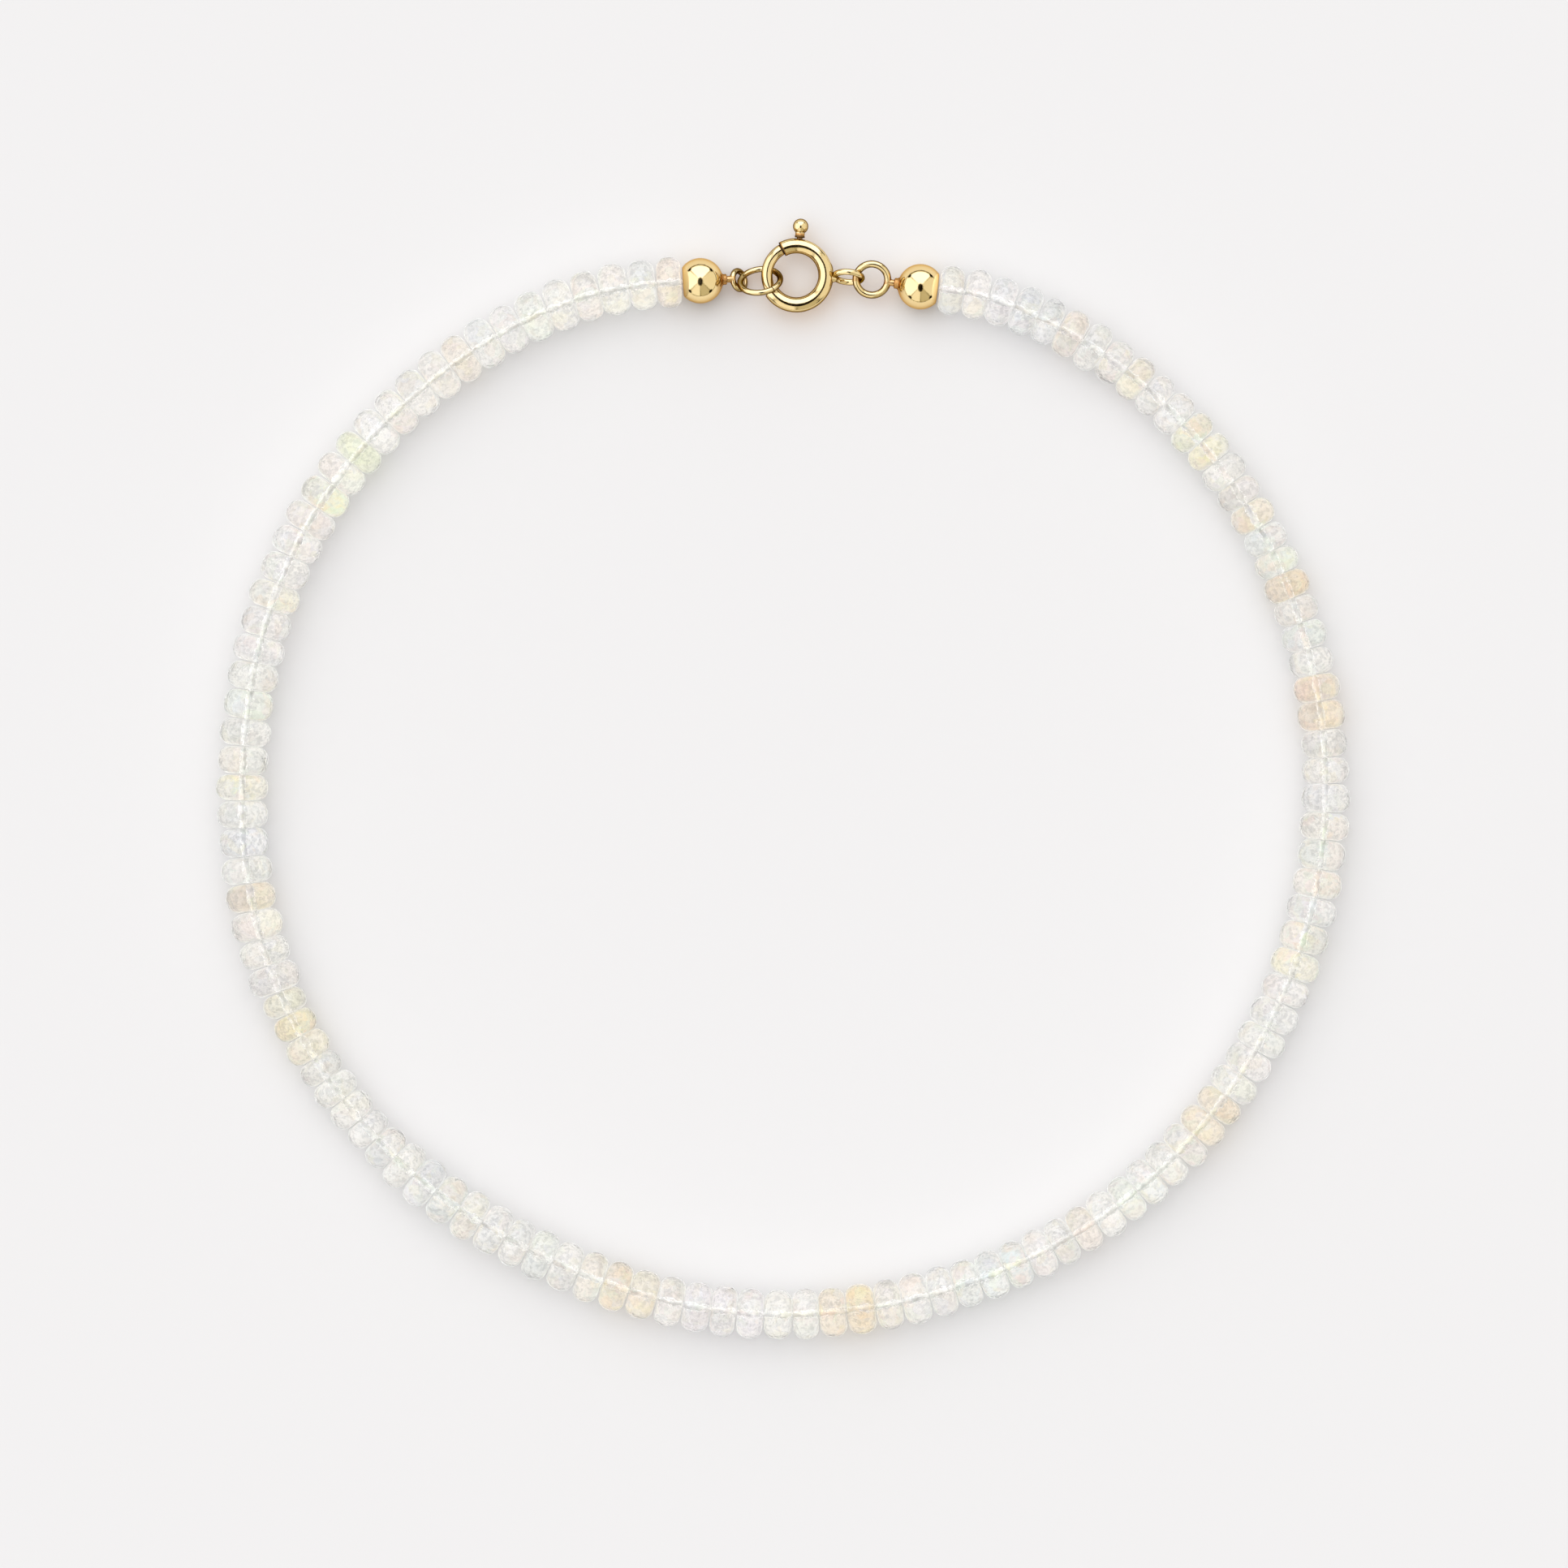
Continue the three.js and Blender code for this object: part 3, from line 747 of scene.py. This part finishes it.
def ball_end(name, node_name, along, ring, material, thin_material):
    """A ball against the last stone, with the neck that holds its ring."""
    point, ahead = strand_at(along)
    outward = -ahead if along == 0 else ahead
    centre = point + outward * (BALL_FLAT + GAP / 2)
    centre[2] = BALL_RADIUS
    line = ring_centreline(ring)
    towards = line[np.argmin(np.linalg.norm(line - centre, axis=1))] - centre
    reach = np.linalg.norm(towards)
    collar = BALL_RADIUS - COLLAR_SUNK
    end = collar + COLLAR_LENGTH
    shape = Shape()
    turned(shape, centre, outward, ball_profile(), 2 * TURNED_AROUND)
    turned(shape, centre, towards, collar_profile(collar, end, reach))
    wire_ring(shape, ring)
    piece = shape.build(name, material)

    def off_ball(p):
        return np.linalg.norm(p - centre) - BALL_RADIUS

    def collar_shade(p):
        """Painted shade, deep round the foot of the collar and faint on the ball beside it and at the foot of
        the neck.
        """
        from_axis = np.linalg.norm(np.cross(p - centre, towards / reach))
        ahead_of_ball = np.dot(p - centre, towards / reach)
        if off_ball(p) > 0.02:
            return 0.55 * fade(ahead_of_ball, end, end + 0.06) if from_axis > NECK_RADIUS + 0.02 else 0.3
        if ahead_of_ball < 0:
            return 0.0
        beside = 0.38 * fade(from_axis, 0.45, 0.85)
        return max(0.9 * fade(from_axis, COLLAR_RADIUS + 0.02, COLLAR_RADIUS + 0.12), beside)

    paint(piece, thin_material, lambda p: off_ball(p) > 0.01)
    mark(piece, "crevice_shade", collar_shade)
    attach(piece, "root")
    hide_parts(node_name)


def add_jump_ring(material):
    """An open ring of wire, with no painted crevice shade."""
    piece = wire_ring(Shape(), JUMP_RING, cut=math.radians(JUMP_CUT)).build("gold_jump_ring", material)
    mark(piece, "crevice_shade", lambda p: 0.0)
    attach(piece, "root")
    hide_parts("jump_ring")


# ---- The spring ring ----------------------------------------------------------------------


def spring_point(degrees, distance, height=0.0):
    a = math.radians(degrees)
    return SPRING_CENTRE + (distance * math.sin(a), distance * math.cos(a), height)


def spring_turn(p):
    """Where a point is round the spring ring, in degrees clockwise from +Y."""
    return math.degrees(math.atan2(p[0] - SPRING_CENTRE[0], p[1] - SPRING_CENTRE[1]))


def spring_distance(p):
    """How far a point is from the spring ring's middle, in plan."""
    return math.hypot(p[0] - SPRING_CENTRE[0], p[1] - SPRING_CENTRE[1])


def tube_distance(p):
    """How far a point is from the middle of the spring ring's tube."""
    return math.hypot(spring_distance(p) - SPRING_RADIUS, p[2] - SPRING_CENTRE[2])


def arc_ring(degrees, radius):
    """One ring of points round the line along the middle of the spring ring's tube."""
    return [
        spring_point(degrees, SPRING_RADIUS + radius * math.cos(b), radius * math.sin(b))
        for b in angles(TUBE_AROUND)
    ]


def arc_degrees(length):
    return math.degrees(length / SPRING_RADIUS)


def tube_shape():
    """The tube from its closed end over the outside, round its rolled mouth and down the bore."""
    far = FAR_END + 360
    lip = arc_degrees(0.035)
    rings = [
        arc_ring(far, TUBE - 0.05),
        arc_ring(far - arc_degrees(0.02), TUBE - 0.015),
        arc_ring(far - arc_degrees(0.06), TUBE),
    ]
    rings += [arc_ring(t, TUBE) for t in np.linspace(far - 3, MOUTH + 2.5, 120)]
    rings += [
        arc_ring(MOUTH + lip, TUBE), arc_ring(MOUTH + lip * 0.3, TUBE - 0.012), arc_ring(MOUTH, TUBE - 0.03),
        arc_ring(MOUTH, BORE + 0.01), arc_ring(MOUTH + lip * 0.6, BORE),
    ]
    rings += [arc_ring(t, BORE) for t in np.linspace(MOUTH + 2.5, BORE_END, 60)]
    first, last = (spring_point(t, SPRING_RADIUS) for t in (far, BORE_END))
    return Shape().loft(rings, first=first, last=last)


def slot_outline():
    """(turn, height) round a slot with round ends, with points along its sides that follow the curve."""
    half = SLOT_WIDTH / 2
    round_off = arc_degrees(half)
    start = KNOB_TURN - SLOT_MARGIN + round_off
    stop = KNOB_TURN + KNOB_TRAVEL + SLOT_MARGIN - round_off
    ends = []
    for middle, first, last in ((stop, 90, -90), (start, -90, -270)):
        turns = np.radians(np.linspace(first, last, 13))
        ends.append([(middle + round_off * math.cos(t), half * math.sin(t)) for t in turns])
    along = np.linspace(stop, start, 26)[1:-1]
    return [*ends[0], *[(t, -half) for t in along], *ends[1], *[(t, half) for t in along[::-1]]]


def slot_shape():
    """The space that the knob slides in, from inside the bore to outside the tube."""
    outline = slot_outline()
    inner, outer = SPRING_RADIUS + SLOT_DEPTH, SPRING_RADIUS + 2 * TUBE
    shape = Shape().loft([[spring_point(t, distance, z) for t, z in outline] for distance in (inner, outer)])
    # The long thin caps are strips from one side of the slot to the other.
    size = len(outline)
    for base in (0, size):
        for k in range(size // 2 - 1):
            across = base + size - 1 - k
            shape.faces.append((base + k, base + k + 1, across - 1, across))
    return shape


def cut_away(piece, tool):
    """Cuts tool out of piece, and deletes tool."""
    cut = piece.modifiers.new("slot", "BOOLEAN")
    cut.operation, cut.solver, cut.object = "DIFFERENCE", "EXACT", tool
    settled = bpy.data.meshes.new_from_object(piece.evaluated_get(bpy.context.evaluated_depsgraph_get()))
    piece.modifiers.clear()
    piece.data = settled
    bpy.data.objects.remove(tool)


def join(piece, other):
    """Adds the mesh of other to piece, and deletes other."""
    work = bmesh.new()
    work.from_mesh(piece.data)
    work.from_mesh(other.data)
    work.to_mesh(piece.data)
    work.free()
    bpy.data.objects.remove(other)
    finish_mesh(piece.data, 38)


def eye_shape():
    """The eye beside the spring ring, and the solder that holds it."""
    shape = wire_ring(Shape(), SPRING_EYE)
    towards = 90 - SPRING_EYE[5]
    direction = spring_point(towards, 1.0) - spring_point(towards, 0.0)
    return turned(shape, spring_point(towards, SPRING_RADIUS + TUBE), direction, [
        (-0.3, 0.0), (-0.24, 0.3), (-0.1, 0.27), (0.03, SOLDER_RADIUS), (0.12, SOLDER_RADIUS - 0.03),
        (0.2, SOLDER_RADIUS - 0.09), (0.25, 0.07), (0.25, 0.0),
    ], TUBE_AROUND)


def add_spring_ring(material):
    """Bored tube with a rolled mouth and a slot for the knob, and the eye soldered to its side."""
    piece = tube_shape().build("gold_spring_ring", material)
    cut_away(piece, slot_shape().build("slot_tool", material))
    join(piece, eye_shape().build("eye", material))
    piece.data.name = "gold_spring_ring"

    # Painted shade in the seam at the tube's mouth.
    def mouth_shade(p):
        return fade(abs(spring_turn(p) - MOUTH), 1.8, 3.4) if tube_distance(p) < TUBE + 0.01 else 0.0

    mark(piece, "crevice_shade", mouth_shade)
    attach(piece, "root")
    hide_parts("spring_ring")


def knob_profile():
    """The knob's neck, its collar and the ball on it."""
    edge = KNOB_COLLAR - 0.02
    profile = [
        (SPRING_RADIUS, 0.0), (SPRING_RADIUS, KNOB_NECK), (KNOB_COLLAR_START, KNOB_NECK),
        (KNOB_COLLAR_START + 0.01, KNOB_COLLAR - 0.03), (KNOB_COLLAR_START + 0.04, KNOB_COLLAR),
        (KNOB_COLLAR_START + 0.09, KNOB_COLLAR), (KNOB_COLLAR_START + 0.13, edge),
    ]
    for turn in np.linspace(math.pi - math.asin(edge / KNOB_RADIUS), 0, 26):
        profile.append((KNOB_DISTANCE + KNOB_RADIUS * math.cos(turn), KNOB_RADIUS * math.sin(turn)))
    return profile


def add_gate(material):
    """The wire that closes the ring, with its knob."""
    rings = []
    for e in (0.25, 0.5, 0.75, 1.0):
        thickness = WIRE * (0.55 + 0.45 * math.sin(e * math.pi / 2))
        rings.append(arc_ring(GATE_END + arc_degrees(GATE_ROUNDING * e), thickness))
    # The points lie closer at the mouth, where the painted shade starts and ends.
    turns = [
        *np.linspace(GATE_END + arc_degrees(GATE_ROUNDING) + 1, MOUTH - 3, 60),
        *np.linspace(MOUTH - 2.4, MOUTH + 2.4, 9),
        *np.linspace(MOUTH + 3, GATE_TAIL - 2, 30),
    ]
    rings += [arc_ring(t, WIRE) for t in turns]
    rings += [arc_ring(GATE_TAIL, WIRE * 0.9)]
    first, last = (spring_point(t, SPRING_RADIUS) for t in (GATE_END, GATE_TAIL))
    shape = Shape().loft(rings, first=first, last=last)
    root = spring_point(KNOB_TURN, 0.0)
    turned(shape, root, spring_point(KNOB_TURN, 1.0) - root, knob_profile(), 40)
    piece = shape.build("gold_gate", material)

    # Painted shade on the gate at the mouth, and round the knob's neck and the foot of its collar.
    def gate_shade(p):
        if tube_distance(p) < WIRE + 0.01:
            return fade(abs(spring_turn(p) - MOUTH), 1.6, 3.0)
        return 0.85 * fade(spring_distance(p), KNOB_COLLAR_START + 0.12, KNOB_COLLAR_START + 0.26)

    mark(piece, "crevice_shade", gate_shade)
    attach(piece, "gate")
    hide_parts("gate")


# ---- Floor, light and camera --------------------------------------------------------------


def add_floor():
    mesh = bpy.data.meshes.new("floor")
    corners = [(x * FLOOR_HALF, y * FLOOR_HALF, 0) for x, y in ((-1, -1), (1, -1), (1, 1), (-1, 1))]
    mesh.from_pydata(corners, [], [(0, 1, 2, 3)])
    mesh.materials.append(floor_material())
    ground = bpy.data.objects.new("floor", mesh)
    bpy.context.scene.collection.objects.link(ground)
    ground.location.z = -FLOOR_DROP


def tent_walls(tree, direction, through):
    """How bright the tent is to one side, as polished metal shows it or, where through is 1, a stone."""
    split = node(tree, "ShaderNodeSeparateXYZ")
    feed(tree, split.inputs[0], direction)
    x, y, z = split.outputs
    wide, deep = calc(tree, "ABSOLUTE", x), calc(tree, "ABSOLUTE", y)
    level = calc(tree, "SQRT", calc(tree, "ADD", product(tree, x, x), product(tree, y, y)))
    level = calc(tree, "MAXIMUM", level, 0.001)
    across = calc(tree, "GREATER_THAN", deep, wide)
    north = calc(tree, "GREATER_THAN", y, 0.0)
    east = calc(tree, "GREATER_THAN", x, 0.0)

    def four_walls(to_north, south_east, south_west, to_east, to_west):
        to_south = pick(tree, east, south_east, south_west)
        return pick(tree, across, pick(tree, north, to_north, to_south), pick(tree, east, to_east, to_west))

    # Metal also shows the seams in the corners, the poles that stand there, and the flap in the -Y wall.
    from_corner = calc(tree, "ABSOLUTE", calc(tree, "SUBTRACT", wide, deep))
    seams = ramp(tree, calc(tree, "DIVIDE", from_corner, level), 0.02, 0.09, 0.35, 1.0)
    level_part = product(tree, calc(tree, "ADD", wide, deep), 0.701)
    near_pole = calc(tree, "ADD", level_part, product(tree, z, 0.129))
    edge, core = math.cos(math.radians(10.0)), math.cos(math.radians(7.0))
    poles = ramp(tree, near_pole, edge, core, 1.0, 0.02)
    from_flap = calc(tree, "ADD", calc(tree, "DIVIDE", wide, level), north)
    flap = ramp(tree, from_flap, 0.012, 0.05, 0.3, 1.0)
    # The lens looks down from above, and the foot of the walls is in shade.
    along_x = calc(tree, "POWER", calc(tree, "DIVIDE", x, 0.23), 2.0)
    along_y = calc(tree, "POWER", calc(tree, "DIVIDE", calc(tree, "ADD", y, 0.12), 0.36), 2.0)
    lens = ramp(tree, calc(tree, "ADD", along_x, along_y), 0.8, 1.2, 0.01, 1.0)
    at_north = product(tree, across, north)
    foot = pick(tree, at_north, ramp(tree, z, 0.06, 0.24, 0.06, 1.0), ramp(tree, z, 0.02, 0.1, 0.1, 1.0))
    in_metal = product(tree, four_walls(*WALLS_IN_METAL), seams, flap, poles, lens, foot)
    return pick(tree, through, four_walls(*WALLS_BEHIND_STONE), in_metal)


def soft_light(tree, direction):
    """The tent's light as dull surfaces take it: soft, from high up and a little left of +Y."""
    slant, turn = math.radians(LIGHT_SLANT), math.radians(LIGHT_TURN)
    source = (math.cos(slant) * math.sin(turn), math.cos(slant) * math.cos(turn), math.sin(slant))
    towards = node(tree, "ShaderNodeVectorMath", operation="DOT_PRODUCT")
    feed_all(tree, towards.inputs, (direction, source))
    lobe = calc(tree, "MAXIMUM", towards.outputs["Value"], 0.0)
    return product(tree, lobe, lobe, LIGHT_STRENGTH)


def add_tent():
    """A light tent: four walls, the ones at +Y and -X the brightest, round a plain backdrop."""
    world = bpy.data.worlds.new("tent")
    world.use_nodes = True
    world.cycles.sampling_method = "MANUAL"
    world.cycles.sample_map_resolution = 256
    bpy.context.scene.world = world
    tree = world.node_tree
    tree.nodes.clear()
    direction = node(tree, "ShaderNodeTexCoord").outputs["Generated"]
    path = node(tree, "ShaderNodeLightPath")
    glossy, through = path.outputs["Is Glossy Ray"], path.outputs["Is Transmission Ray"]
    light = pick(tree, glossy, tent_walls(tree, direction, through), soft_light(tree, direction))
    # Polished metal shows the dim parts of the tent warmer than the bright ones.
    warm = combined(tree, *[calc(tree, "POWER", light, power) for power in WALL_WARMTH])
    in_metal = product(tree, glossy, calc(tree, "SUBTRACT", 1.0, through))
    colour = blend(tree, in_metal, combined(tree, light, light, light), warm)
    tent = shader(tree, "ShaderNodeBackground", {"Color": colour})
    backdrop = shader(tree, "ShaderNodeBackground", {"Color": BACKDROP})
    out = node(tree, "ShaderNodeOutputWorld")
    feed(tree, out.inputs["Surface"], mix_shaders(tree, path.outputs["Is Camera Ray"], tent, backdrop))


def add_camera():
    """Straight above the bracelet."""
    data = bpy.data.cameras.new("camera")
    data.lens, data.sensor_width = LENS, SENSOR
    data.clip_start, data.clip_end = 0.01, 20.0
    camera = bpy.data.objects.new("camera", data)
    bpy.context.scene.collection.objects.link(camera)
    height = VIEW_LEVEL + VIEW_HALF_WIDTH * LENS / (SENSOR / 2)
    camera.location = (0.0, VIEW_MIDDLE_Y * MM, height * MM)
    bpy.context.scene.camera = camera


# ---- Assembly -----------------------------------------------------------------------------

bpy.context.scene.view_settings.view_transform = "Standard"
opal, thread = opal_material(), thread_material()
gold, gold_tube, gold_wire = [gold_material(name, *values) for name, values in GOLDS.items()]
beads = add_stones(opal)
add_thread(thread, beads)
ball_end("gold_ball_left", "ball_end_left", STRAND_LENGTH, LEFT_EYE, gold, gold_wire)
ball_end("gold_ball_right", "ball_end_right", 0, RIGHT_RING, gold, gold_wire)
add_jump_ring(gold_wire)
add_spring_ring(gold_tube)
add_gate(gold_tube)
add_floor()
add_tent()
add_camera()

bpy.context.view_layer.update()
